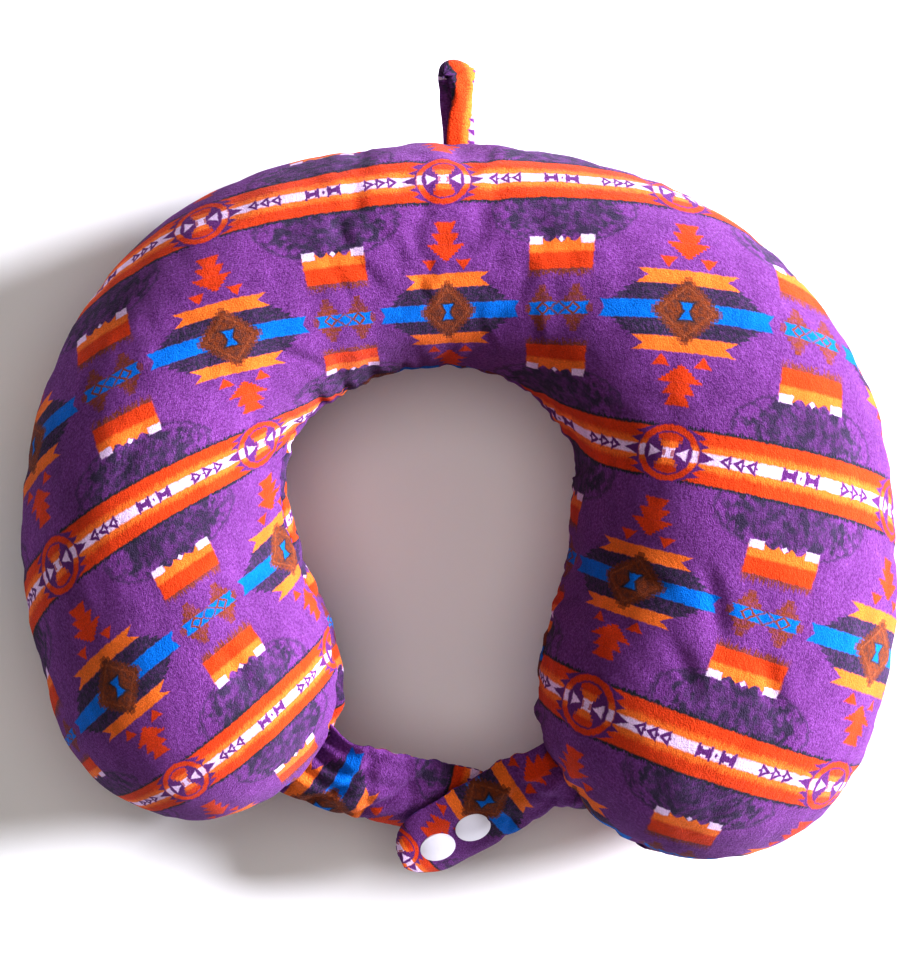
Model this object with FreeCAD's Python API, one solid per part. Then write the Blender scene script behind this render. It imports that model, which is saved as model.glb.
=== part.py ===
"""U-shaped neck pillow: plush cover over fibre filling, two snap straps and a hang loop.

Frame: millimetres, +Z up, the pillow lies flat on Z = 0.  The neck opening faces -Y, where
two straps close it, and the hang loop stands out of the back at +Y.  The origin is the
centre of the object's footprint.
"""
import FreeCAD, Part
import math
import os

Vector = FreeCAD.Vector

# ---------------------------------------------------------------- driving dimensions (mm)
SEAM_HEIGHT = 41.0        # height of the seam between the top and the bottom panel
BASE_SINK = 1.5           # how far the lying pillow flattens where it rests
SECTION_FULLNESS = 0.58   # Bezier handle of the cross-section, 0.552 is a true ellipse
COVER_THICKNESS = 1.6     # plush fabric with its pile
SEAM_ALLOWANCE = 6.0      # fabric turned inwards at the seam
FILL_GAP = 0.25           # between the cover and the filling
THREAD_SIZE = 0.7
THREAD_INSET = 2.6        # from the cover's inner face to the seam thread
CLOSING_SEAM_LENGTH = 90.0

# The U's middle line from the left arm's end, round the back, to the right arm's end:
# x, y, half width of the cross-section, height of the crown above the seam.
STATIONS = (
    (-90.5, -70.0, 50.0, 45.5),
    (-98.5, -47.0, 48.5, 46.0),
    (-103.5, -20.0, 46.5, 46.0),
    (-100.5, 13.0, 43.5, 43.0),
    (-82.5, 45.5, 41.5, 40.0),
    (-46.0, 67.5, 39.5, 37.0),
    (-3.0, 74.0, 38.0, 36.0),
    (39.0, 66.0, 41.0, 37.0),
    (72.0, 43.0, 47.0, 40.0),
    (90.5, 13.0, 53.0, 43.0),
    (94.0, -20.0, 56.0, 46.0),
    (92.0, -50.0, 58.0, 46.5),
    (85.5, -74.5, 59.0, 45.5),
)

# Straps: two plies each, snapped together one over the other.
STRAP_WIDTH = 31.0
PLY_THICKNESS = 1.7
HINGE_GAP = 0.3
STRAP_TILT = 40.0         # the snapped straps lean towards -Y by this angle
STRAP_LEAN_HEADING = -72.0  # plan direction of that lean, from +X
SNAP_POINT = (4.6, -122.0, 36.0)  # middle of the right strap at the closed snap
RIGHT_HEADING = 210.0     # plan direction of each strap, root to tip
LEFT_HEADING = -12.8
RIGHT_ROOT_BEARING = 213.0  # where each strap is sewn in, seen from the arm's end centre
LEFT_ROOT_BEARING = -37.5
RIGHT_SNAP_FROM_HINGE = 24.5
LEFT_SNAP_FROM_HINGE = 37.0
RIGHT_TIP_PAST_SNAP = 28.0
LEFT_TIP_PAST_SNAP = 12.0
SNAP_PITCH = 14.2         # between the right strap's two snaps
SEWN_IN_DEPTH = 9.0       # strap end held inside the seam
SEWN_END_STAND_OUT = 3.0  # straight stretch outside the seam before the twist
EDGE_THREAD_INSET = 2.4

# Snap fasteners: cap with a prong, socket, stud.
CAP_RADIUS = 6.2
CAP_RIM = 0.7
CAP_DOME = 1.2
PRONG_RADIUS = 1.1
PRONG_HEAD_RADIUS = 1.45
PRONG_HEAD_HEIGHT = 0.4
PRONG_CLEARANCE = 0.05
SNAP_RADIUS = 5.25
SOCKET_FLOOR = 0.8
SOCKET_HEIGHT = 3.0
SOCKET_BORE_RADIUS = 2.7
STUD_BASE = 1.4
STUD_POST_RADIUS = 2.2
STUD_POST_HEIGHT = 1.7
STUD_HOLLOW_RADIUS = 1.5
SNAP_FACE_GAP = 0.3

# Hang loop: a strip folded into an eye, its ends sewn into the back seam.
LOOP_X = -1.2
LOOP_WIDTH = 10.0
LOOP_THICKNESS = 2.0
LOOP_END_Y = 140.5
LOOP_BELLY = 5.6          # half height of the eye outside
LOOP_ROOT_RADIUS = 1.9
LOOP_SEWN_END_LENGTH = 8.0

BIG = 400.0


# ---------------------------------------------------------------- small helpers
def unit(vector):
    """The vector scaled to length one."""
    return Vector(vector).multiply(1.0 / vector.Length)


def plan_direction(degrees):
    """Horizontal unit vector at an angle from +X."""
    turn = math.radians(degrees)
    return Vector(math.cos(turn), math.sin(turn), 0.0)


def slab(low, high):
    """Wide box between two heights."""
    return Part.makeBox(2 * BIG, 2 * BIG, high - low, Vector(-BIG, -BIG, low))


def placed(shape, origin, along, across, normal):
    """Copy of a shape drawn in local X, Y, Z, set on the three given directions."""
    matrix = FreeCAD.Matrix(
        along.x, across.x, normal.x, origin.x,
        along.y, across.y, normal.y, origin.y,
        along.z, across.z, normal.z, origin.z,
        0, 0, 0, 1,
    )
    copy = shape.copy()
    copy.Placement = FreeCAD.Placement(matrix).multiply(copy.Placement)
    return copy


def save(name, shape):
    """Write one sub-part."""
    shape.exportStep(f"parts/{name}.step")


# ---------------------------------------------------------------- pillow body
def spine_headings():
    """Unit direction of the U's middle line at every station."""
    curve = Part.BSplineCurve()
    points = [Vector(x, y, 0) for x, y, _, _ in STATIONS]
    curve.interpolate(points)
    headings = []
    for point in points:
        headings.append(unit(curve.tangent(curve.parameter(point))[0]))
    return headings


def quarter(centre, side, reach, up, rise):
    """Quarter of the cross-section, from its crown or base round to the seam."""
    top = centre + up * rise
    curve = Part.BezierCurve()
    curve.setPoles([
        top,
        top + side * (reach * SECTION_FULLNESS),
        centre + side * reach + up * (rise * SECTION_FULLNESS),
        centre + side * reach,
    ])
    return curve.toShape()


def section_edges(index, inset, side):
    """Upper and lower quarter on one side of a station, set in from the outer face."""
    x, y, half_width, crown = STATIONS[index]
    centre = Vector(x, y, SEAM_HEIGHT)
    up = Vector(0, 0, 1)
    reach = half_width - inset
    upper = quarter(centre, side, reach, up, crown - inset)
    lower = quarter(centre, side, reach, -up, SEAM_HEIGHT + BASE_SINK - inset)
    return upper, lower


def section_wire(index, heading, inset):
    """Whole cross-section at one station, square to the middle line."""
    side = Vector(heading.y, -heading.x, 0)
    upper_right, lower_right = section_edges(index, inset, side)
    upper_left, lower_left = section_edges(index, inset, -side)
    return Part.Wire([upper_right, lower_right, lower_left, upper_left])


def arm_end(index, heading, inset):
    """Rounded end of an arm: half of its last section turned about the vertical."""
    x, y, _, crown = STATIONS[index]
    side = Vector(heading.y, -heading.x, 0)
    upper, lower = section_edges(index, inset, side)
    top = Vector(x, y, SEAM_HEIGHT + crown - inset)
    bottom = Vector(x, y, -BASE_SINK + inset)
    axis_edge = Part.makeLine(top, bottom)
    face = Part.Face(Part.Wire([upper, lower, axis_edge]))
    return face.revolve(Vector(x, y, 0), Vector(0, 0, 1), 180)


def pillow_body(inset):
    """The pillow's full form, shrunk by the inset all round."""
    headings = spine_headings()
    wires = []
    for index, heading in enumerate(headings):
        wires.append(section_wire(index, heading, inset))
    arch = Part.makeLoft(wires, True, False, False)
    last = len(STATIONS) - 1
    left_end = arm_end(0, -headings[0], inset)
    right_end = arm_end(last, headings[last], inset)
    return arch.fuse([left_end, right_end])


BODY_CACHE = {}


def body_slice(inset, low, high):
    """The inset form between two heights."""
    if inset not in BODY_CACHE:
        BODY_CACHE[inset] = pillow_body(inset)
    return BODY_CACHE[inset].common(slab(low, high))


def seam_ring():
    """Path of the seam thread: a square ring inside the seam allowance."""
    outer = COVER_THICKNESS + THREAD_INSET
    low = SEAM_HEIGHT - THREAD_SIZE / 2
    high = SEAM_HEIGHT + THREAD_SIZE / 2
    return body_slice(outer, low, high).cut(body_slice(outer + THREAD_SIZE, low, high))


def top_cover(ring):
    """Upper panel with its seam allowance turned inwards."""
    turned = SEAM_HEIGHT + COVER_THICKNESS
    panel = body_slice(0, SEAM_HEIGHT, BIG)
    panel = panel.cut(body_slice(COVER_THICKNESS, turned, BIG))
    panel = panel.cut(body_slice(COVER_THICKNESS + SEAM_ALLOWANCE, SEAM_HEIGHT, turned))
    return panel.cut(ring)


def bottom_cover(ring):
    """Lower panel with its seam allowance, flat where it rests."""
    turned = SEAM_HEIGHT - COVER_THICKNESS
    panel = body_slice(0, 0, SEAM_HEIGHT)
    panel = panel.cut(body_slice(COVER_THICKNESS, COVER_THICKNESS, turned))
    panel = panel.cut(body_slice(COVER_THICKNESS + SEAM_ALLOWANCE, turned, SEAM_HEIGHT))
    return panel.cut(ring)


def filling():
    """Fibre filling, notched round the seam allowance."""
    outer = COVER_THICKNESS + FILL_GAP
    notch_low = SEAM_HEIGHT - COVER_THICKNESS - FILL_GAP
    notch_high = SEAM_HEIGHT + COVER_THICKNESS + FILL_GAP
    upper = body_slice(outer, notch_high, BIG)
    waist = body_slice(outer + SEAM_ALLOWANCE, notch_low, notch_high)
    lower = body_slice(outer, outer, notch_low)
    return upper.fuse([waist, lower])


# ---------------------------------------------------------------- straps
LEAN = plan_direction(STRAP_LEAN_HEADING)
STRAP_NORMAL = unit(
    LEAN * math.sin(math.radians(STRAP_TILT))
    + Vector(0, 0, math.cos(math.radians(STRAP_TILT)))
)
STRAP_STACK = 2 * PLY_THICKNESS + SOCKET_HEIGHT + SNAP_FACE_GAP + STUD_BASE
RIGHT_SNAP = Vector(*SNAP_POINT)
LEFT_SNAP = RIGHT_SNAP - STRAP_NORMAL * STRAP_STACK


def strap_frame(heading, snap, snap_from_hinge):
    """Hinge point and the strap's length, width and normal directions."""
    flat = plan_direction(heading)
    drop = -(flat.x * STRAP_NORMAL.x + flat.y * STRAP_NORMAL.y) / STRAP_NORMAL.z
    along = unit(Vector(flat.x, flat.y, drop))
    across = STRAP_NORMAL.cross(along)
    hinge = snap - along * snap_from_hinge
    return hinge, along, across, STRAP_NORMAL


def tongue(length, inset, low, high):
    """Strap outline with a round tip, between two local heights."""
    half = STRAP_WIDTH / 2 - inset
    centre = length - STRAP_WIDTH / 2
    straight = Part.makeBox(centre - inset, 2 * half, high - low, Vector(inset, -half, low))
    round_tip = Part.makeCylinder(half, high - low, Vector(centre, 0, low))
    return straight.fuse(round_tip).removeSplitter()


def strap_plies(length, snap_places):
    """Front ply, back ply and edge thread, drawn flat with the hinge along local Y."""
    half = STRAP_WIDTH / 2
    fold = Part.makeCylinder(PLY_THICKNESS, STRAP_WIDTH, Vector(0, -half, 0), Vector(0, 1, 0))
    thread_half = THREAD_SIZE / 2
    thread = tongue(length, EDGE_THREAD_INSET, -thread_half, thread_half)
    inner = tongue(length, EDGE_THREAD_INSET + THREAD_SIZE, -thread_half, thread_half)
    thread = thread.cut(inner)
    plies = []
    for low in (0.0, -PLY_THICKNESS):
        high = low + PLY_THICKNESS
        sheet = tongue(length, 0.0, low, high)
        rounded = fold.common(slab(low, high))
        ply = sheet.fuse(rounded).removeSplitter().cut(thread)
        for place in snap_places:
            hole = Part.makeCylinder(
                PRONG_RADIUS + PRONG_CLEARANCE, PLY_THICKNESS, Vector(place, 0, low)
            )
            ply = ply.cut(hole)
        plies.append(ply)
    return plies[0], plies[1], thread


def snap_cap(prong_length):
    """Domed cap standing on local Z = 0, with its prong and flattened head below."""
    disc = Part.makeCylinder(CAP_RADIUS, CAP_RIM)
    sphere_radius = (CAP_RADIUS**2 + CAP_DOME**2) / (2 * CAP_DOME)
    sphere = Part.makeSphere(sphere_radius, Vector(0, 0, CAP_RIM + CAP_DOME - sphere_radius))
    dome = sphere.common(slab(CAP_RIM, BIG))
    prong = Part.makeCylinder(PRONG_RADIUS, prong_length, Vector(0, 0, -prong_length))
    head = Part.makeCylinder(
        PRONG_HEAD_RADIUS, PRONG_HEAD_HEIGHT, Vector(0, 0, -prong_length - PRONG_HEAD_HEIGHT)
    )
    return disc.fuse([dome, prong, head])


def snap_socket():
    """Socket hanging below local Z = 0, open downwards."""
    body = Part.makeCylinder(SNAP_RADIUS, SOCKET_HEIGHT, Vector(0, 0, -SOCKET_HEIGHT))
    bore = Part.makeCylinder(
        SOCKET_BORE_RADIUS, SOCKET_HEIGHT - SOCKET_FLOOR, Vector(0, 0, -SOCKET_HEIGHT)
    )
    hole = Part.makeCylinder(
        PRONG_RADIUS + PRONG_CLEARANCE, SOCKET_FLOOR, Vector(0, 0, -SOCKET_FLOOR)
    )
    return body.cut(bore).cut(hole)


def snap_stud():
    """Stud standing on local Z = 0, its post hollow for the prong's head."""
    base = Part.makeCylinder(SNAP_RADIUS, STUD_BASE)
    post = Part.makeCylinder(STUD_POST_RADIUS, STUD_POST_HEIGHT, Vector(0, 0, STUD_BASE))
    hollow = Part.makeCylinder(STUD_HOLLOW_RADIUS, STUD_POST_HEIGHT, Vector(0, 0, STUD_BASE))
    hole = Part.makeCylinder(PRONG_RADIUS + PRONG_CLEARANCE, STUD_BASE)
    return base.fuse(post).cut(hollow).cut(hole)


def sewn_end(arm_index, bearing, frame):
    """Strap end held in the arm's seam, twisted towards the hinge line."""
    hinge, along, across, normal = frame
    x, y, reach, _ = STATIONS[arm_index]
    outward = plan_direction(bearing)
    root = Vector(x, y, SEAM_HEIGHT) + outward * reach
    up = Vector(0, 0, 1)
    chord = up.cross(outward)
    length = SEWN_IN_DEPTH + SEWN_END_STAND_OUT
    half = STRAP_WIDTH / 2
    held = Part.makeBox(
        length, STRAP_WIDTH, 2 * PLY_THICKNESS, Vector(-SEWN_IN_DEPTH, -half, -PLY_THICKNESS)
    )
    held = placed(held, root, outward, chord, up)
    start = root + outward * SEWN_END_STAND_OUT
    end = hinge - along * (2 * PLY_THICKNESS + HINGE_GAP)
    wires = []
    for centre, wide, thick in ((start, chord, up), (end, across, normal)):
        corners = []
        for across_sign, thick_sign in ((-1, -1), (1, -1), (1, 1), (-1, 1), (-1, -1)):
            offset = wide * (across_sign * half) + thick * (thick_sign * PLY_THICKNESS)
            corners.append(centre + offset)
        wires.append(Part.makePolygon(corners))
    twist = Part.makeLoft(wires, True, True, False)
    fold = Part.makeCylinder(PLY_THICKNESS, STRAP_WIDTH, end - across * half, across)
    return held.fuse([twist, fold])


# ---------------------------------------------------------------- hang loop
def loop_outline(inset, hinge_y):
    """Face of the eye in the Y-Z plane, pointed at the root and round at its far end."""
    end_radius = LOOP_BELLY - inset
    end_centre = LOOP_END_Y - LOOP_BELLY
    root_radius = max(LOOP_ROOT_RADIUS - inset, 0.0)
    root_y = hinge_y + inset * 3
    distance = end_centre - root_y
    lean = math.asin((end_radius - root_radius) / distance)
    rise, run = math.cos(lean), math.sin(lean)

    def on_circle(centre_y, radius, sign):
        return Vector(0, centre_y - radius * run, sign * radius * rise)

    upper_far = on_circle(end_centre, end_radius, 1)
    lower_far = on_circle(end_centre, end_radius, -1)
    far_arc = Part.Arc(upper_far, Vector(0, end_centre + end_radius, 0), lower_far).toShape()
    if root_radius > 0:
        upper_root = on_circle(root_y, root_radius, 1)
        lower_root = on_circle(root_y, root_radius, -1)
        near = Part.Arc(lower_root, Vector(0, root_y - root_radius, 0), upper_root).toShape()
        edges = [far_arc, Part.makeLine(lower_far, lower_root), near]
        edges.append(Part.makeLine(upper_root, upper_far))
    else:
        point = Vector(0, root_y, 0)
        edges = [far_arc, Part.makeLine(lower_far, point), Part.makeLine(point, upper_far)]
    return Part.Face(Part.Wire(edges))


def hang_loop(hinge_y):
    """Folded strip: a teardrop eye whose axis runs along X."""
    width = Vector(LOOP_WIDTH, 0, 0)
    solid = loop_outline(0.0, hinge_y).extrude(width)
    eye = loop_outline(LOOP_THICKNESS, hinge_y).extrude(width)
    loop = solid.cut(eye)
    loop.translate(Vector(LOOP_X - LOOP_WIDTH / 2, 0, SEAM_HEIGHT))
    return loop


def loop_sewn_end(hinge_y):
    """The strip's two ends, flat together inside the back seam."""
    length = LOOP_SEWN_END_LENGTH
    start = hinge_y - LOOP_ROOT_RADIUS - HINGE_GAP - length
    corner = Vector(LOOP_X - LOOP_WIDTH / 2, start, SEAM_HEIGHT - PLY_THICKNESS)
    return Part.makeBox(LOOP_WIDTH, length, 2 * PLY_THICKNESS, corner)


# ---------------------------------------------------------------- assembly
def build():
    """Make every sub-part and write it."""
    os.makedirs("parts", exist_ok=True)

    right_frame = strap_frame(RIGHT_HEADING, RIGHT_SNAP, RIGHT_SNAP_FROM_HINGE)
    left_frame = strap_frame(LEFT_HEADING, LEFT_SNAP, LEFT_SNAP_FROM_HINGE)
    back = STATIONS[len(STATIONS) // 2]
    loop_hinge_y = back[1] + back[2] + LOOP_ROOT_RADIUS + 2 * HINGE_GAP

    right_end = sewn_end(len(STATIONS) - 1, RIGHT_ROOT_BEARING, right_frame)
    left_end = sewn_end(0, LEFT_ROOT_BEARING, left_frame)
    loop_end = loop_sewn_end(loop_hinge_y)
    sewn_in = [right_end, left_end, loop_end]

    ring = seam_ring()
    closing_gap = Part.makeBox(
        CLOSING_SEAM_LENGTH, CLOSING_SEAM_LENGTH, BIG, Vector(-CLOSING_SEAM_LENGTH / 2, 0, 0)
    )
    cloth = {
        "top_cover_panel": top_cover(ring),
        "bottom_cover_panel": bottom_cover(ring),
        "cover_seam_thread": ring.cut(closing_gap),
        "closing_seam_thread": ring.common(closing_gap),
        "fibre_filling": filling(),
    }
    for name, shape in cloth.items():
        for end in sewn_in:
            shape = shape.cut(end)
        save(name, shape)
    save("right_strap_sewn_end", right_end)
    save("left_strap_sewn_end", left_end)
    save("hang_loop_sewn_end", loop_end)
    save("hang_loop", hang_loop(loop_hinge_y))

    strap_top = Vector(0, 0, PLY_THICKNESS)
    strap_thickness = 2 * PLY_THICKNESS

    inner_snap = RIGHT_SNAP_FROM_HINGE
    right_snaps = {"inner": inner_snap, "tip": inner_snap + SNAP_PITCH}
    right_length = inner_snap + RIGHT_TIP_PAST_SNAP
    front, back_ply, thread = strap_plies(right_length, right_snaps.values())
    right_pieces = {
        "right_strap_front_ply": front,
        "right_strap_back_ply": back_ply,
        "right_strap_edge_thread": thread,
    }
    for position, place in right_snaps.items():
        cap = snap_cap(strap_thickness + SOCKET_FLOOR)
        cap.translate(Vector(place, 0, 0) + strap_top)
        socket = snap_socket()
        socket.translate(Vector(place, 0, 0) - strap_top)
        right_pieces[f"snap_cap_{position}"] = cap
        right_pieces[f"snap_socket_{position}"] = socket
    for name, shape in right_pieces.items():
        save(name, placed(shape, *right_frame))

    left_length = LEFT_SNAP_FROM_HINGE + LEFT_TIP_PAST_SNAP
    front, back_ply, thread = strap_plies(left_length, [LEFT_SNAP_FROM_HINGE])
    stud = snap_stud()
    stud.translate(Vector(LEFT_SNAP_FROM_HINGE, 0, 0) + strap_top)
    back_cap = snap_cap(strap_thickness + STUD_BASE)
    back_cap.rotate(Vector(0, 0, 0), Vector(1, 0, 0), 180)
    back_cap.translate(Vector(LEFT_SNAP_FROM_HINGE, 0, 0) - strap_top)
    left_pieces = {
        "left_strap_front_ply": front,
        "left_strap_back_ply": back_ply,
        "left_strap_edge_thread": thread,
        "snap_stud": stud,
        "snap_back_cap": back_cap,
    }
    for name, shape in left_pieces.items():
        save(name, placed(shape, *left_frame))

    for label, frame, sign in (("right_strap", right_frame, -1), ("left_strap", left_frame, 1)):
        print(label, "hinge", frame[0], "axis", frame[2] * sign)
    print("loop hinge y", loop_hinge_y)


build()
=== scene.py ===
"""U-shaped neck pillow: printed plush cover, twisted straps, snaps and a hang loop."""
import math
from functools import partialmethod

import bpy
import numpy as np
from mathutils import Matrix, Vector, noise


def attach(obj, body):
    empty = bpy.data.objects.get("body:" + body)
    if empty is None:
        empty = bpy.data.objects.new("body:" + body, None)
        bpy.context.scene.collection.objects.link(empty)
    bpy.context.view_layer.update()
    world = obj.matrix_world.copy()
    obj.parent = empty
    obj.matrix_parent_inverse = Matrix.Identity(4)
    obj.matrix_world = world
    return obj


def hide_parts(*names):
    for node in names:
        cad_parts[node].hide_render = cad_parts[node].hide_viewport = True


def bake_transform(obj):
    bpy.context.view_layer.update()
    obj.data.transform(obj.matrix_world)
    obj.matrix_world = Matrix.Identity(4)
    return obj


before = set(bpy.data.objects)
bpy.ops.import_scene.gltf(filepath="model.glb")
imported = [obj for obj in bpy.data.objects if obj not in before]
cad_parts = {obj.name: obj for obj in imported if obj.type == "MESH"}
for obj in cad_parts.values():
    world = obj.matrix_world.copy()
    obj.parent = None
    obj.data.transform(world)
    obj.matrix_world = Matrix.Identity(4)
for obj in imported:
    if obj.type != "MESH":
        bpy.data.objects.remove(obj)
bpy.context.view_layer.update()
MM = 0.001
UP = np.array([0.0, 0.0, 1.0])

# ---- pillow form (mm)
SEAM_HEIGHT = 41.0
BASE_SINK = 1.5
ROUNDNESS = 2.12          # exponent of the cross-section, 2 is an ellipse
COVER_THICKNESS = 1.4
FILL_INSET = 8.0
ROW_STEP = 3.4            # spacing of the simulated rows along the U
COLUMNS = 48              # simulated columns on each panel, from seam to seam
CLOTH_PRESSURE = 10.0
CLOTH_FRAMES = 20
SEAM_DRAWN_IN = 0.06      # share by which the stitching shortens the inner seam
CLOTH_SLACK = 0.02        # share by which the cloth away from the seams is let out
OUTER_SEAM_SHARE = 0.22   # how far the outer seam is from slack to drawn in
EVENING_ROUNDS = 24       # rounds of averaging that tell wide swelling from puckering
EVENING_SHARE = 0.95      # how much of the wide swelling is taken out again
CLOTH_REACH = 3.5         # cap on the puckering
SETTLED_SHARE = 0.65      # how much of the capped puckering is kept
# x, y, half width and crown height along the U, left arm's end to right arm's end
STATIONS = np.array((
    (-90.5, -70.0, 50.0, 45.5),
    (-98.5, -47.0, 48.5, 46.0),
    (-103.5, -20.0, 46.5, 46.0),
    (-100.5, 13.0, 43.5, 43.0),
    (-82.5, 45.5, 41.5, 40.0),
    (-46.0, 67.5, 39.5, 37.0),
    (-3.0, 74.0, 38.0, 36.0),
    (39.0, 66.0, 41.0, 37.0),
    (72.0, 43.0, 47.0, 40.0),
    (90.5, 13.0, 53.0, 43.0),
    (94.0, -20.0, 56.0, 46.0),
    (92.0, -50.0, 58.0, 46.5),
    (85.5, -74.5, 59.0, 45.5),
))
BACK_STATION = 6
# how far the inner seam is rolled up out of the neck opening, in degrees round the section
SEAM_ROLL = 3.0
SEAM_ROLL_CHANGES = ((-150.0, 55.0, 13.0), (150.0, 60.0, -4.0))   # place, reach, degrees
# waves and lumps of the cover and the filling: size, spacing and seed
GATHERS = ((1.0, 5.2, 3), (0.5, 2.9, 4))
OUTER_GATHERS = (0.4, 7.0, 5)
STUFFING = ((1.0, 42.0, 1), (0.4, 14.0, 2))
RUFFLE = (0.5, 7.0, 8)
FILL_LUMPS = (0.8, 9.0, 6)
GATHER_REACH = 11.0
OUTER_GATHER_REACH = 10.0
SEAM_VALLEY = (1.8, 2.3)       # depth and half width
CREASE_WANDER = (1.6, 5.0)     # how far a crease strays from its line, and how often
# ridge beside a crease: share of its depth, then place and half width in its half widths
CREASE_RIDGE = (0.45, 2.2, 1.4)
CLOSING_SEAM_HALF = 50.0
# creases in the top panel: from x, y to x, y, then half width and depth
CREASES = (
    (-45.0, 90.0, -21.0, 54.0, 1.5, 0.8),
    (-36.0, 94.0, -15.0, 60.0, 1.2, 0.55),
    (-54.0, 80.0, -31.0, 50.0, 1.3, 0.6),
    (-24.0, 88.0, -9.0, 48.0, 1.3, 0.6),
    (6.0, 58.0, 12.0, 38.0, 1.1, 0.35),
    (27.0, 54.0, 24.0, 34.0, 1.1, 0.35),
    (-62.0, 44.0, -44.0, 30.0, 1.5, 0.7),
    (79.0, -30.0, 92.0, -62.0, 3.2, 1.5),
    (98.0, -60.0, 110.0, -84.0, 3.0, 1.3),
    (66.0, -54.0, 84.0, -80.0, 3.0, 0.9),
    (-84.0, -58.0, -62.0, -78.0, 2.6, 0.9),
    (-118.0, -8.0, -100.0, 16.0, 3.0, 0.8),
)
# tucks that stand out beside the straps' roots: x, y, z, radius and height
TUCKS = (
    (28.0, -82.0, 44.0, 4.5, 3.2),
    (33.0, -92.0, 46.0, 4.0, 1.8),
    (-42.0, -79.0, 43.0, 4.5, 2.6),
    (-44.0, -90.0, 45.0, 4.0, 1.6),
)

# ---- print lattice (mm)
REPEAT_ACROSS = 81.5
REPEAT_ALONG = 89.6
PRINT_START = (-2.0, 20.9)     # print place of the crown at the middle of the back
PRINT_TURN_AT_BACK = 1.8       # degrees that the print is turned there
PRINT_TURN_LEFT = -0.149       # and how that changes along the U, degrees per mm
PRINT_TURN_RIGHT = -0.104
ARC_EASE = 0.95                # how tightly the cloth is drawn round the section at the back
ARC_EASE_CHANGE = -0.0005      # and how that changes along the U, per mm
PRINT_SLIP = (8.0, 50.0, 75.0)   # size, place and reach of the cloth's slip along the U
PRINT_SLIP_ENDS = -2.0         # slip at the ends of the arms
PRINT_SHEAR_LEFT = -0.12       # slant of the cloth across the left arm
BOTTOM_PRINT_SHIFT = (31.0, 38.0)

# ---- straps (mm, degrees)
STRAP_WIDTH = 31.0
STRAP_HALF_THICKNESS = 1.7
STRAP_STACK = 8.1
STRAP_PUFF = 1.3
STRAP_CURL = 0.009        # how the edges turn down, per mm from the middle, squared
# creases across the straps: place from the hinge, slant and depth
STRAP_CREASES = ((-9.0, 0.55, 1.6), (-1.0, -0.35, 1.3), (8.0, 0.7, 1.4), (15.0, -0.5, 0.9))
STRAP_CREASE_HALF = 1.9
STRAP_LUMPS = ((0.7, 13.0, 0), (0.35, 5.5, 1))    # size, spacing and step of the seed
STRAP_WAIST = (0.12, 0.55, 9.0)   # share drawn in, its place as a share of the root, its reach
STRAP_STEP = 1.2
ROOT_STEPS = 22
TIP_STEPS = 16
ROOT_PULL = 0.38          # how far the root's curve follows its end directions
PRESSED_AREA = 60.0       # spread of the flat round each snap, mm squared
PLY_THICKNESS = 1.3
SNAP_POINT = np.array([4.6, -122.0, 36.0])
STRAP_LEAN_HEADING = -72.0
STRAP_TILT = 40.0
ROOT_DEPTH = 7.0
# side, station, bearing of the root, heading, length, snaps from the hinge, seed of the folds
STRAPS = (
    ("right", 12, 213.0, 210.0, 52.5, (24.5, 38.7), 21),
    ("left", 0, -37.5, -12.8, 49.0, (37.0,), 33),
)

# ---- hang loop (mm, degrees)
LOOP_X = -0.6
LOOP_ROOT_Y = 106.0
LOOP_END_Y = 139.0
LOOP_ROLL = 30.0
LOOP_HALF_WIDTH = (4.4, 1.3)      # at the seam, and how much more at the fold
LOOP_HALF_THICKNESS = (1.45, 0.6)
LOOP_SPREAD = (1.2, 2.4)          # half distance between the two halves, in the same way
LOOP_ROUNDING = (3.2, 0.12)       # how far the fold's edges lag, and its reach
# creases of the loop: place, sway, phase, half width and depth
LOOP_CREASES = ((0.36, 0.05, 0.0, 0.022, 1.0), (0.27, -0.06, 0.7, 0.018, 0.8))
LOOP_PRINT_U = 12.0
LOOP_PRINT_V = 39.0

# ---- light and camera (m)
WORLD_STRENGTH = 0.11
WORLD_TINT = (1.0, 0.96, 0.93, 1.0)
# direction that each lamp shines from, its softness in degrees, strength and tint
LAMPS = (
    ("key", (1.16, 0.27, 0.52), 20.0, 9.3, (0.90, 0.91, 1.0)),
    ("fill", (0.0, 0.10, 1.9), 55.0, 0.75, (1.0, 0.96, 0.92)),
)
FLOOR_REACH = 12.0
CAMERA_PLACE = (-0.0022, -0.0036, 1.60)
CAMERA_LENS = 170.0


# ---- curves and grids
def plan_direction(degrees):
    """Horizontal unit vector at an angle from +X."""
    turn = math.radians(degrees)
    return np.array([math.cos(turn), math.sin(turn), 0.0])


def unit(vectors):
    """Vectors scaled to length one."""
    length = np.linalg.norm(vectors, axis=-1, keepdims=True)
    return vectors / np.maximum(length, 1e-9)


def natural_spline(knots, values, where):
    """Natural cubic spline through rows of values at the knots."""
    gaps = np.diff(knots)
    count = len(knots)
    system = np.zeros((count, count))
    right = np.zeros_like(values)
    system[0, 0] = system[-1, -1] = 1.0
    slopes = np.diff(values, axis=0) / gaps[:, None]
    for i in range(1, count - 1):
        system[i, i - 1:i + 2] = gaps[i - 1], 2 * (gaps[i - 1] + gaps[i]), gaps[i]
        right[i] = 6 * (slopes[i] - slopes[i - 1])
    bend = np.linalg.solve(system, right)
    cell = np.clip(np.searchsorted(knots, where) - 1, 0, count - 2)
    gap = gaps[cell][:, None]
    before = (knots[cell + 1] - where)[:, None]
    after = (where - knots[cell])[:, None]
    cubic = (bend[cell] * before**3 + bend[cell + 1] * after**3) / (6 * gap)
    straight = (values[cell] / gap - bend[cell] * gap / 6) * before
    straight += (values[cell + 1] / gap - bend[cell + 1] * gap / 6) * after
    return cubic + straight


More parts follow.
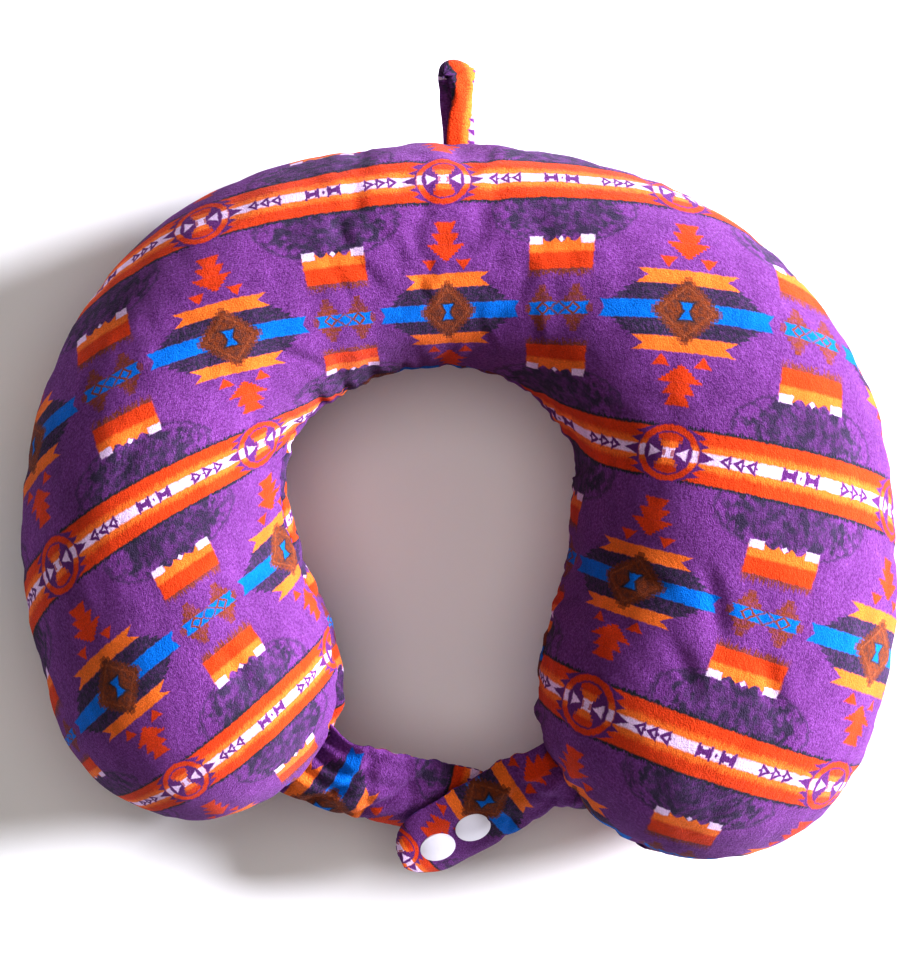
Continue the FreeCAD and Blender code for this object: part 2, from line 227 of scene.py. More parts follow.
def smooth_noise(where, spacing, seed):
    """Smooth random wave along a line, between -1 and 1, with the given spacing."""
    draws = np.random.default_rng(seed).uniform(-1, 1, 4096)
    place = where / spacing + 1000.0
    cell = np.floor(place).astype(int)
    part = place - cell
    part = part * part * (3 - 2 * part)
    return draws[cell] * (1 - part) + draws[cell + 1] * part


def lumps(points, size, seed):
    """Smooth random field in space, between about -1 and 1."""
    flat = points.reshape(-1, 3) / size + seed * 17.3
    values = [noise.noise(Vector(p)) for p in flat]
    return np.array(values).reshape(points.shape[:-1])


def refine(grid, around):
    """Twice as many rows and columns, by smooth interpolation; columns close up if around."""
    def halfway(values):
        first, last = 2 * values[:1] - values[1:2], 2 * values[-1:] - values[-2:-1]
        padded = np.concatenate([first, values, last])
        return (9 * (padded[1:-2] + padded[2:-1]) - padded[:-3] - padded[3:]) / 16

    def doubled(values, closed):
        if closed:
            ring = np.concatenate([values[-2:], values, values[:3]])
            middle = halfway(ring)[2:2 + len(values)]
            result = np.empty((2 * len(values),) + values.shape[1:])
            result[0::2] = values
            result[1::2] = middle
            return result
        result = np.empty((2 * len(values) - 1,) + values.shape[1:])
        result[0::2] = values
        result[1::2] = halfway(values)
        return result

    tall = doubled(grid, False)
    wide = doubled(np.swapaxes(tall, 0, 1), around)
    return np.swapaxes(wide, 0, 1)


def grid_normals(grid, around):
    """Outward normals of a grid of points."""
    along = np.gradient(grid, axis=0)
    if around:
        across = (np.roll(grid, -1, axis=1) - np.roll(grid, 1, axis=1)) / 2
    else:
        across = np.gradient(grid, axis=1)
    return unit(np.cross(along, across))


def new_object(name, points, faces):
    """Smooth-shaded mesh object from points in millimetres."""
    mesh = bpy.data.meshes.new(name)
    mesh.from_pydata((np.asarray(points) * MM).tolist(), [], faces)
    mesh.validate()
    mesh.shade_smooth()
    piece = bpy.data.objects.new(name, mesh)
    bpy.context.scene.collection.objects.link(piece)
    return piece


def store_cloth_place(piece, places):
    """Where each vertex lies on the flat printed cloth (mm), and how far from a seam."""
    layer = piece.data.attributes.new("cloth_place", "FLOAT_VECTOR", "POINT")
    layer.data.foreach_set("vector", np.asarray(places, np.float32).ravel())


# ---- the U's middle line
steps = np.hypot(*np.diff(STATIONS[:, :2], axis=0).T)
KNOTS = np.concatenate([[0.0], np.cumsum(steps)])
KNOTS = KNOTS - KNOTS[BACK_STATION]


def spine(where):
    """Centre, heading, half width and crown at places along the U."""
    values = natural_spline(KNOTS, STATIONS, where)
    ahead = natural_spline(KNOTS, STATIONS, where + 0.5)
    behind = natural_spline(KNOTS, STATIONS, where - 0.5)
    heading = np.zeros((len(where), 3))
    heading[:, :2] = ahead[:, :2] - behind[:, :2]
    centre = np.zeros((len(where), 3))
    centre[:, :2] = values[:, :2]
    return centre, unit(heading), values[:, 2], values[:, 3]


def pillow_rows():
    """Place along the U and turn round the arm's end for each row of the mesh."""
    middle = np.linspace(KNOTS[0], KNOTS[-1], int((KNOTS[-1] - KNOTS[0]) / ROW_STEP) + 1)
    rows = []
    for angle in np.linspace(-90, 0, int(STATIONS[0, 2] * 1.5 / ROW_STEP) + 1)[:-1]:
        rows.append((KNOTS[0], angle))
    for place in middle:
        rows.append((place, 0.0))
    for angle in np.linspace(0, 90, int(STATIONS[-1, 2] * 1.5 / ROW_STEP) + 1)[1:]:
        rows.append((KNOTS[-1], angle))
    return np.array(rows)


def inner_seam_lift(places):
    """How far the seam is rolled up out of the neck opening, in degrees round the section."""
    roll = SEAM_ROLL + 0 * places
    for place, reach, degrees in SEAM_ROLL_CHANGES:
        roll = roll + degrees * np.exp(-((places - place) / reach) ** 2)
    return roll


def signed_power(values, exponent):
    """Power of the size, keeping the sign."""
    return np.sign(values) * np.abs(values) ** exponent


def row_sides(heading):
    """Horizontal direction towards the neck opening, square to each heading."""
    return np.stack([heading[:, 1], -heading[:, 0], np.zeros(len(heading))], axis=1)


def pillow_grid(rows, columns, inset=0.0):
    """Points of the closed form: rows along the U, columns round it from the inner seam."""
    places, turns = rows[:, 0], np.radians(rows[:, 1])[:, None]
    centre, heading, half, crown = spine(places)
    lift = np.radians(inner_seam_lift(places))[:, None]
    share = np.arange(columns) / columns
    angles = np.concatenate([
        lift + (math.pi - lift) * share,
        math.pi + (math.pi + lift) * share,
    ], axis=1)
    bulge = 2 / ROUNDNESS
    ball_out = np.cos(angles) * np.cos(turns)
    ball_push = np.sin(turns) + 0 * angles
    ball_rise = np.sin(angles) * np.cos(turns)
    level = np.hypot(ball_out, ball_push)
    reach = level ** bulge * (half[:, None] - inset)
    out = ball_out / np.maximum(level, 1e-9) * reach
    push = ball_push / np.maximum(level, 1e-9) * reach
    height = np.where(ball_rise > 0, crown[:, None] - inset, SEAM_HEIGHT + BASE_SINK - inset)
    points = centre[:, None, :] + row_sides(heading)[:, None, :] * out[..., None]
    points = points + heading[:, None, :] * push[..., None]
    rise = signed_power(ball_rise, bulge) * height
    points[..., 2] = np.maximum(SEAM_HEIGHT + rise, inset)
    return points


def cloth_reach(half, height, share):
    """Length of cloth from the crown to a share of the half width, for one row."""
    angle = np.linspace(math.pi / 2, 0, 120)
    out = np.cos(angle) ** (2 / ROUNDNESS) * half
    rise = np.sin(angle) ** (2 / ROUNDNESS) * height
    length = np.concatenate([[0], np.cumsum(np.hypot(np.diff(out), np.diff(rise)))])
    return np.interp(share, out / half, length)


def print_course():
    """Heading of the print and its place on the cloth, for places along the U."""
    fine = np.arange(KNOTS[0], KNOTS[-1] + 0.25, 0.5)
    heading = spine(fine)[1]
    slope = np.where(fine > 0, PRINT_TURN_RIGHT, PRINT_TURN_LEFT)
    turn = np.radians(PRINT_TURN_AT_BACK + slope * fine)
    course = np.unwrap(np.arctan2(heading[:, 1], heading[:, 0])) - turn
    u = np.concatenate([[0], np.cumsum(np.cos(course[:-1]) * 0.5)])
    v = np.concatenate([[0], np.cumsum(np.sin(course[:-1]) * 0.5)])
    start = np.argmin(np.abs(fine))
    return fine, course, u - u[start] + PRINT_START[0], v - v[start] + PRINT_START[1]


def print_places(rows, grid, height, shift=(0.0, 0.0)):
    """Flat cloth coordinates (mm) for every point, true to length along and round the form."""
    fine, course, middle_u, middle_v = print_course()
    places = rows[:, 0]
    course = np.interp(places, fine, course)[:, None]
    base_u = np.interp(places, fine, middle_u)[:, None] + shift[0]
    base_v = np.interp(places, fine, middle_v)[:, None] + shift[1]
    centre, heading, half, crown = spine(places)
    offset = grid - centre[:, None, :]
    out = np.einsum("rck,rk->rc", offset, row_sides(heading))
    push = np.einsum("rck,rk->rc", offset, heading)
    reach = np.hypot(out, push)
    arc = np.empty_like(reach)
    for i in range(len(rows)):
        tall = crown[i] if height is None else height
        arc[i] = cloth_reach(half[i], tall, np.clip(reach[i] / half[i], 0, 1))
    ease = (ARC_EASE + ARC_EASE_CHANGE * places)[:, None]
    stretch = arc * ease / np.maximum(reach, 1e-6)
    out, push = out * stretch, push * stretch
    size, middle, slip_reach = PRINT_SLIP
    slip = size * np.exp(-((places - middle) / slip_reach) ** 2) + PRINT_SLIP_ENDS
    on_left_arm = np.clip(-places / 120.0, 0, 1)
    push = push + slip[:, None] + PRINT_SHEAR_LEFT * on_left_arm[:, None] * out
    u = base_u + np.cos(course) * push + np.sin(course) * out
    v = base_v + np.sin(course) * push - np.cos(course) * out
    return u, v


# ---- meshes from grids
def grid_faces(rows, columns, start, around):
    """Quads of a grid whose first point has the index start."""
    faces = []
    for row in range(rows - 1):
        for column in range(columns if around else columns - 1):
            here = start + row * columns + column
            beside = start + row * columns + (column + 1) % columns
            faces.append((here, here + columns, beside + columns, beside))
    return faces


def pointed_mesh(name, grid, around):
    """Mesh from a grid whose first and last rows each gather in one point."""
    rows, columns = grid.shape[:2]
    points = [grid[0, 0]]
    points.extend(grid[1:-1].reshape(-1, 3))
    points.append(grid[-1, 0])
    last = len(points) - 1
    faces = grid_faces(rows - 2, columns, 1, around)
    for column in range(columns if around else columns - 1):
        beside = (column + 1) % columns
        faces.append((0, 1 + column, 1 + beside))
        faces.append((last, last - columns + beside, last - columns + column))
    return new_object(name, points, faces)


def pointed_values(grid, column):
    """Values of a grid in the order of pointed_mesh's points."""
    values = [grid[0, column]]
    values.extend(grid[1:-1].reshape(-1, grid.shape[2]))
    values.append(grid[-1, column])
    return values


def thicken(piece, thickness):
    """Gives an open sheet the cloth's thickness, inwards."""
    shell = piece.modifiers.new("cloth thickness", "SOLIDIFY")
    shell.thickness = thickness * MM
    shell.offset = -1.0


def stitches(name, path, stitch, gap, radius):
    """Short thread stitches lying along a path of points in mm."""
    path = np.asarray(path)
    steps = np.linalg.norm(np.diff(path, axis=0), axis=1)
    run = np.concatenate([[0], np.cumsum(steps)])
    points, faces = [], []
    sides = 6
    profile = ((0.0, 0.25), (0.12, 0.85), (0.5, 1.0), (0.88, 0.85), (1.0, 0.25))
    for begin in np.arange(gap, run[-1] - stitch, stitch + gap):
        first = np.array([np.interp(begin, run, path[:, k]) for k in range(3)])
        second = np.array([np.interp(begin + stitch, run, path[:, k]) for k in range(3)])
        ahead = unit(second - first)
        left = unit(np.cross(ahead, UP + 0.01))
        over = np.cross(left, ahead)
        start = len(points)
        for share, swell in profile:
            for side in range(sides):
                turn = math.tau * side / sides
                rim = (left * math.cos(turn) + over * math.sin(turn)) * radius * swell
                points.append(first + (second - first) * share + rim)
        faces.extend(grid_faces(len(profile), sides, start, True))
        faces.append(tuple(start + side for side in range(sides)))
        end = start + sides * (len(profile) - 1)
        faces.append(tuple(end + sides - 1 - side for side in range(sides)))
    return new_object(name, points, faces)


# ---- pillow cover
def seam_distances(grid, columns):
    """Distance round the form from the inner and from the outer seam, for every point."""
    spans = np.linalg.norm(np.roll(grid, -1, axis=1) - grid, axis=2)
    run = np.concatenate([np.zeros((len(grid), 1)), np.cumsum(spans, axis=1)], axis=1)
    total = run[:, -1:]
    run = run[:, :-1]
    from_inner = np.minimum(run, total - run)
    from_outer = np.abs(run - run[:, columns:columns + 1])
    return from_inner, from_outer


def creases_and_tucks(grid, columns):
    """Long creases in the top panel and tucks beside the straps, as an outward shift."""
    shift = np.zeros(grid.shape[:2])
    ridge_height, ridge_place, ridge_half = CREASE_RIDGE
    for x0, y0, x1, y1, half_width, depth in CREASES:
        start, span = np.array((x0, y0)), np.array((x1 - x0, y1 - y0))
        length = np.linalg.norm(span)
        ahead = span / length
        offset = grid[..., :2] - start
        share = offset @ ahead / length
        aside = offset @ np.array((-ahead[1], ahead[0]))
        aside = aside + CREASE_WANDER[0] * np.sin(share * CREASE_WANDER[1] + x0)
        ends = np.clip(np.minimum(share, 1 - share) * 3.0, 0, 1)
        valley = np.exp(-(aside / half_width) ** 2)
        ridge = np.exp(-((aside - ridge_place * half_width) / (ridge_half * half_width)) ** 2)
        shift = shift + depth * ends * (ridge_height * ridge - valley)
    shift[:, columns:] = 0.0
    for x, y, z, radius, height in TUCKS:
        away = np.linalg.norm(grid - np.array((x, y, z)), axis=2)
        shift = shift + height * np.exp(-(away / radius) ** 2)
    return shift


def cover_relief(rows, grid, columns):
    """Seam valleys, gathers and uneven stuffing as an outward shift, and the seam distance."""
    turns = np.radians(rows[:, 1])
    half = spine(rows[:, 0])[2]
    places = rows[:, 0] + turns * half
    from_inner, from_outer = seam_distances(grid, columns)
    gathers = sum(size * smooth_noise(places, spacing, seed) for size, spacing, seed in GATHERS)
    tight = 0.6 + 0.4 * np.exp(-(places / 75.0) ** 2)
    shift = (tight * gathers)[:, None] * np.exp(-from_inner / GATHER_REACH)
    size, spacing, seed = OUTER_GATHERS
    outer_gathers = size * smooth_noise(places, spacing, seed)[:, None]
    shift = shift + outer_gathers * np.exp(-from_outer / OUTER_GATHER_REACH)
    for size, spacing, seed in STUFFING:
        shift = shift + size * lumps(grid, spacing, seed)
    shift = shift + creases_and_tucks(grid, columns)
    shift = shift * np.minimum(np.cos(turns) / 0.35, 1.0)[:, None]
    seam_distance = np.minimum(from_inner, from_outer)
    depth, half_width = SEAM_VALLEY
    shift = shift - depth * np.exp(-(seam_distance / half_width) ** 2)
    return shift, seam_distance


def evened(values, rounds):
    """Grid values averaged with their neighbours, round after round."""
    for _ in range(rounds):
        values = (np.roll(values, 1, axis=1) + np.roll(values, -1, axis=1) + 2 * values) / 4
        ends = np.concatenate([values[:1], values, values[-1:]])
        values = (ends[:-2] + ends[2:] + 2 * values) / 4
    return values


def lumpy(grid, wave):
    """Closed grid pushed outwards by lumps, its end rows kept as single points."""
    size, spacing, seed = wave
    grid = grid + grid_normals(grid, True) * lumps(grid, spacing, seed)[..., None] * size
    grid[0] = grid[0, 0]
    grid[-1] = grid[-1, 0]
    return grid


def settled_cover(grid, columns):
    """The closed cover after it is blown up as cloth with its seams drawn tight."""
    scene = bpy.context.scene
    trial = pointed_mesh("cloth_trial", lumpy(grid, RUFFLE), True)
    count = 2 * columns
    seam = trial.vertex_groups.new(name="seam")
    for row in range(grid.shape[0] - 2):
        here = 1 + row * count
        for column, weight in ((0, 1.0), (columns, OUTER_SEAM_SHARE)):
            seam.add([here + column], weight, "REPLACE")
            for step in (1, count - 1):
                seam.add([here + (column + step) % count], weight * 0.6, "REPLACE")
    cloth = trial.modifiers.new("cloth", "CLOTH")
    settings = cloth.settings
    settings.quality = 6
    settings.mass = 0.15
    settings.tension_stiffness = 20
    settings.compression_stiffness = 8
    settings.shear_stiffness = 5
    settings.bending_stiffness = 0.15
    settings.use_pressure = True
    settings.uniform_pressure_force = CLOTH_PRESSURE
    settings.vertex_group_shrink = "seam"
    settings.shrink_min = -CLOTH_SLACK
    settings.shrink_max = SEAM_DRAWN_IN
    settings.effector_weights.gravity = 0
    cloth.point_cache.frame_start = 1
    cloth.point_cache.frame_end = CLOTH_FRAMES
    for frame_number in range(1, CLOTH_FRAMES + 1):
        scene.frame_set(frame_number)
    settled = trial.evaluated_get(bpy.context.evaluated_depsgraph_get())
    flat = np.empty(len(settled.data.vertices) * 3)
    settled.data.vertices.foreach_get("co", flat)
    flat = flat.reshape(-1, 3) / MM
    result = grid.copy()
    result[0] = flat[0]
    result[-1] = flat[-1]
    result[1:-1] = flat[1:-1].reshape(grid.shape[0] - 2, count, 3)
    bpy.data.objects.remove(trial)
    scene.frame_set(1)
    move = result - grid
    move = move - evened(move, EVENING_ROUNDS) * EVENING_SHARE
    size = np.linalg.norm(move, axis=2, keepdims=True)
    move = move * SETTLED_SHARE * np.minimum(1.0, CLOTH_REACH / np.maximum(size, 1e-6))
    return grid + move


def make_cover():
    """Both cover panels, their seam stitches and the filling."""
    rows = pillow_rows()
    grid = pillow_grid(rows, COLUMNS)
    columns = 2 * COLUMNS
    plain = refine(grid, True)
    grid = settled_cover(grid, COLUMNS)
    fine_rows = refine(np.repeat(rows[:, None, :], 2, axis=1), False)[:, 0, :]
    fine_rows[:, 0] = np.clip(fine_rows[:, 0], KNOTS[0], KNOTS[-1])
    fine_rows[:, 1] = np.clip(fine_rows[:, 1], -90, 90)
    fine = refine(grid, True)
    shift, seam_distance = cover_relief(fine_rows, fine, columns)
    fine = fine + grid_normals(fine, True) * shift[..., None]
    fine[..., 2] = np.maximum(fine[..., 2], 0.0)
    fine[0] = fine[1].mean(axis=0)
    fine[-1] = fine[-2].mean(axis=0)

    def closed(values):
        return np.concatenate([values, values[:, :1]], axis=1)

    made = {}
    sheets = (
        ("top_cover", slice(0, columns + 1), None, (0.0, 0.0)),
        ("bottom_cover", slice(columns, None), SEAM_HEIGHT + BASE_SINK, BOTTOM_PRINT_SHIFT),
    )
    for name, part, height, shift_of_print in sheets:
        points = closed(fine)[:, part]
        u, v = print_places(fine_rows, closed(plain)[:, part], height, shift_of_print)
        cloth = np.stack([u, v, closed(seam_distance)[:, part]], axis=2)
        piece = pointed_mesh(name, points, False)
        store_cloth_place(piece, pointed_values(cloth, columns // 2))
        thicken(piece, COVER_THICKNESS)
        made[name] = piece
    inner = fine[:, 0]
    outer = fine[::-1, columns]
    ring = np.concatenate([inner, outer])
    made["seam"] = stitches("cover_seam_stitches", ring, stitch=2.6, gap=0.9, radius=0.32)
    neck = inner[np.abs(fine_rows[:, 0]) < CLOSING_SEAM_HALF] + UP * 0.5
    made["closing"] = stitches("closing_seam_stitches", neck, stitch=1.5, gap=0.7, radius=0.38)
    fill = lumpy(pillow_grid(rows, COLUMNS // 2, FILL_INSET), FILL_LUMPS)
    made["filling"] = pointed_mesh("fibre_fill", fill, True)
    return made


# ---- straps
STRAP_NORMAL = plan_direction(STRAP_LEAN_HEADING) * math.sin(math.radians(STRAP_TILT))
STRAP_NORMAL = STRAP_NORMAL + UP * math.cos(math.radians(STRAP_TILT))


def strap_frame(heading, snap, snap_from_hinge):
    """Hinge point and the strap's length and width directions."""
    flat = plan_direction(heading)
    flat[2] = -(flat[:2] @ STRAP_NORMAL[:2]) / STRAP_NORMAL[2]
    along = unit(flat)
    return snap - along * snap_from_hinge, along, np.cross(STRAP_NORMAL, along)


def ribbon(frame_of_strap, station, bearing, length):
    """Mid-plane frames of a strap, from inside the arm's seam to its round tip."""
    hinge, along, across = frame_of_strap
    x, y, half, _ = STATIONS[station]
    outward = plan_direction(bearing)
    root = np.array([x, y, SEAM_HEIGHT]) + outward * half
    chord = np.cross(UP, outward)
    start = root - outward * ROOT_DEPTH
    reach = np.linalg.norm(hinge - start)
    t = np.linspace(0, 1, ROOT_STEPS, endpoint=False)[:, None]
    pull = reach * ROOT_PULL
    one, two = start + outward * pull, hinge - along * pull
    curve = start * (1 - t)**3 + one * 3 * t * (1 - t)**2
    curve = curve + two * 3 * t**2 * (1 - t) + hinge * t**3
    ease = t * t * (3 - 2 * t)
    sides = unit(chord * (1 - ease) + across * ease)
    ups = unit(UP * (1 - ease) + STRAP_NORMAL * ease)
    tip = STRAP_WIDTH / 2
    straight = np.arange(0, length - tip, STRAP_STEP)
    round_part = length - tip + tip * np.sin(np.linspace(0, math.pi / 2, TIP_STEPS))
    run = np.concatenate([straight, round_part])
    curve = np.concatenate([curve, hinge + along * run[:, None]])
    sides = np.concatenate([sides, np.repeat(across[None], len(run), axis=0)])
    ups = np.concatenate([ups, np.repeat(STRAP_NORMAL[None], len(run), axis=0)])
    run = np.concatenate([(t[:, 0] - 1) * reach, run])
    beyond = np.clip((run - (length - tip)) / tip, 0, 1)
    wide = tip * np.sqrt(np.maximum(1 - beyond**2, 1e-4))
    drawn_in, place, spread = STRAP_WAIST
    wide = wide * (1 - drawn_in * np.exp(-((run + reach * place) / spread) ** 2))
    return curve, sides, ups, run, wide, reach


def ply_surfaces(frames, columns, snaps, seed):
    """Outer and inner surface of the front and back plies, with the place on the strap."""
    curve, sides, ups, run, wide, reach = frames
    share = np.sin(np.linspace(-math.pi / 2, math.pi / 2, columns))[None, :]
    b = share * wide[:, None]
    a = run[:, None] + 0 * b
    edge = np.sqrt(np.maximum(1 - np.abs(share) ** 5, 0)) + 0 * b
    pressed = sum(np.exp(-((a - snap) ** 2 + b**2) / PRESSED_AREA) for snap in snaps)
    puff = STRAP_PUFF * (1 - share**2) * (1 - np.minimum(pressed, 1.0))
    root = np.exp(-np.maximum(run + reach * 0.7, 0) / 17.0)[:, None]
    folds = smooth_noise(share[0] * STRAP_WIDTH / 2, 3.8, seed)[None, :]
    drift = smooth_noise(share[0] * STRAP_WIDTH / 2 + 40.0, 5.5, seed)[None, :]
    bend = root * (2.3 * folds + 1.2 * drift * np.sin(run / 6.0)[:, None])
    slack = 1 - np.minimum(pressed * 1.2, 1.0)
    spots = np.stack([a, b, 0 * a], axis=2)
    bend = bend + sum(size * lumps(spots, gap, seed + step) for size, gap, step in STRAP_LUMPS) * slack
    bend = bend - STRAP_CURL * b**2 * slack * np.clip((a + reach * 0.6) / 12.0, 0, 1)
    for place, slant, depth in STRAP_CREASES:
        away = (a - place - slant * b) / STRAP_CREASE_HALF
        bend = bend - depth * np.exp(-away ** 2) * slack
    bend = bend * np.clip((a + reach) / 5.0, 0, 1)
    middle = curve[:, None, :] + sides[:, None, :] * b[..., None]
    up = ups[:, None, :]

    def surface(height):
        return middle + up * (bend + height)[..., None]

    full = STRAP_HALF_THICKNESS * edge + puff * edge
    thin = np.maximum(full - PLY_THICKNESS, 0.04)
    return surface(full), surface(thin), surface(-full), surface(-thin), a, b


def ply_piece(name, outer, inner, places, upward):
    """One ply as a closed shell between its outer and inner surfaces."""
    rows, columns = outer.shape[:2]
    points = np.concatenate([outer.reshape(-1, 3), inner.reshape(-1, 3)])
    count = rows * columns
    top = grid_faces(rows, columns, 0, False)
    under = [face[::-1] for face in grid_faces(rows, columns, count, False)]
    rim = [column for column in range(columns)]
    rim += [row * columns + columns - 1 for row in range(1, rows)]
    rim += [(rows - 1) * columns + column for column in range(columns - 2, -1, -1)]
    rim += [row * columns for row in range(rows - 2, 0, -1)]
    band = []
    for here, there in zip(rim, rim[1:] + rim[:1]):
        band.append((here, there, there + count, here + count))
    faces = top + under + band
    if not upward:
        faces = [face[::-1] for face in faces]
    piece = new_object(name, points, faces)
    store_cloth_place(piece, np.concatenate([places.reshape(-1, 3)] * 2))
    return piece


def make_strap(side, frames, snaps, place_print, seed):
    """Front ply, back ply and edge stitches of one strap."""
    front, front_in, back, back_in, a, b = ply_surfaces(frames, 33, snaps, seed)
    u, v = place_print(a, b)
    cloth = np.stack([u, v, 20 + 0 * u], axis=2)
    backing = np.stack([u + 21.0, v + 30.0, 20 + 0 * u], axis=2)
    front_ply = ply_piece(side + "_strap_front", front, front_in, cloth, True)
    back_ply = ply_piece(side + "_strap_back", back, back_in, backing, False)
    middle = (front + back) / 2
    rim = np.concatenate([middle[24:, 1], middle[-1, 2:-2], middle[:23:-1, -2]])
    thread = stitches(side + "_strap_stitches", rim, stitch=2.2, gap=0.8, radius=0.25)
    return front_ply, back_ply, thread


# ---- hang loop
def make_loop():
    """Folded, twisted strip standing out of the seam at the back."""
    sides, rings = 36, 150
    t = np.linspace(0, 1, rings)
    out = np.sin(math.pi * t)
    spread = np.cos(math.pi * t)
    y = LOOP_ROOT_Y + (LOOP_END_Y - LOOP_ROOT_Y) * out ** 0.62
    z = SEAM_HEIGHT + 0.4 + spread * (LOOP_SPREAD[0] + LOOP_SPREAD[1] * out)
    x = LOOP_X + 1.9 * spread * (0.55 + 0.45 * out) + 0.7 * np.sin(2.5 * math.pi * t)
    path = np.stack([x, y, z], axis=1)
    ahead = unit(np.gradient(path, axis=0))
    flat = unit(np.cross(ahead, np.array([1.0, 0.0, 0.0])))
    wide = unit(np.cross(flat, ahead))
    roll = np.radians(LOOP_ROLL) * np.sin(math.tau * t)
    across = wide * np.cos(roll)[:, None] + flat * np.sin(roll)[:, None]
    over = np.cross(across, ahead)
    width = LOOP_HALF_WIDTH[0] + LOOP_HALF_WIDTH[1] * out**2
    width = width - 0.5 * np.exp(-((t - 0.16) / 0.06) ** 2)
    thick = LOOP_HALF_THICKNESS[0] + LOOP_HALF_THICKNESS[1] * out
    steps = np.linalg.norm(np.diff(path, axis=0), axis=1)
    length = np.concatenate([[0], np.cumsum(steps)])[:, None]
    angle = np.linspace(0, math.tau, sides, endpoint=False)[None, :]
    t = t[:, None]
    fold = 1 + 0.10 * np.cos(2 * angle + t * 16.0) + 0.05 * np.cos(5 * angle - t * 23.0)
    crease = 0 * fold
    for place, sway, phase, half_width, depth in LOOP_CREASES:
        away = (t - place - sway * np.cos(angle + phase)) / half_width
        crease = crease + depth * np.exp(-away ** 2)
    fold = fold - 0.16 * crease
    aside = np.cos(angle) * width[:, None] * fold
    above = np.sin(angle) * thick[:, None] * fold
    grid = path[:, None, :] + aside[..., None] * across[:, None, :]
    grid = grid + above[..., None] * over[:, None, :]
    lag, fold_reach = LOOP_ROUNDING
    rounded = lag * np.cos(angle) ** 2 * np.exp(-((t - 0.5) / fold_reach) ** 2)
    grid[..., 1] = grid[..., 1] - rounded
    faces = grid_faces(rings, sides, 0, True)
    faces.append(tuple(range(sides)))
    last = (rings - 1) * sides
    faces.append(tuple(last + side for side in range(sides - 1, -1, -1)))
    piece = new_object("hang_loop_strip", grid.reshape(-1, 3), faces)
    turned = np.clip((t - 0.5) / 0.2, 0, 1)
    v = LOOP_PRINT_V + 1.6 * np.clip(1 - t / 0.3, 0, 1) - 13.0 * turned
    v = v + 0.8 * width[:, None] * np.cos(angle)
    u = LOOP_PRINT_U + length + 0 * angle
    store_cloth_place(piece, np.stack([u, v, 20 + 0 * v], axis=2).reshape(-1, 3))
    return piece


# ---- materials
def colour(red, green, blue):
    """Linear RGBA from 0-255 display values."""
    values = []
    for level in (red, green, blue):
        share = level / 255
        values.append(share / 12.92 if share <= 0.04045 else ((share + 0.055) / 1.055) ** 2.4)
    return (*values, 1.0)


class Field:
    """A number that varies over the surface, worked out by Math nodes."""

    def __init__(self, tree, socket):
        self.tree = tree
        self.socket = socket

    def math(self, operation, *others, clamp=False):
        """Math node with this field as its first input."""
        node = self.tree.nodes.new("ShaderNodeMath")
        node.operation = operation
        node.use_clamp = clamp
        for entry, value in zip(node.inputs, (self, *others)):
            if isinstance(value, Field):
                self.tree.links.new(value.socket, entry)
            else:
                entry.default_value = value
        return Field(self.tree, node.outputs[0])

    __add__ = partialmethod(math, "ADD")
    __sub__ = partialmethod(math, "SUBTRACT")
    __mul__ = partialmethod(math, "MULTIPLY")
    __truediv__ = partialmethod(math, "DIVIDE")
    __abs__ = partialmethod(math, "ABSOLUTE")
    least = partialmethod(math, "MINIMUM")
    most = partialmethod(math, "MAXIMUM")
    folded = partialmethod(math, "PINGPONG")    # distance from the nearest even multiple of a reach
    over = partialmethod(math, "MULTIPLY_ADD")  # slope * self + start
    contrast = partialmethod(math, "MULTIPLY_ADD", clamp=True)  # the same, kept between 0 and 1

    def stepped(self, size):
        """Rounded to steps of a size."""
        return self.math("SNAP", size) + size / 2

    def inside(self, soft=0.25):
        """1 where the field is below zero, with a soft edge."""
        return self.contrast(-0.5 / soft, 0.5)


def between(value, low, high):
    """Below zero between two values."""
    return abs(value - (low + high) / 2) - (high - low) / 2


def ellipse(x, y, half_x, half_y):
    """Distance from the middle of an ellipse, 1 on its edge."""
    squares = (x / half_x).math("POWER", 2.0) + (y / half_y).math("POWER", 2.0)
    return squares.math("SQRT")


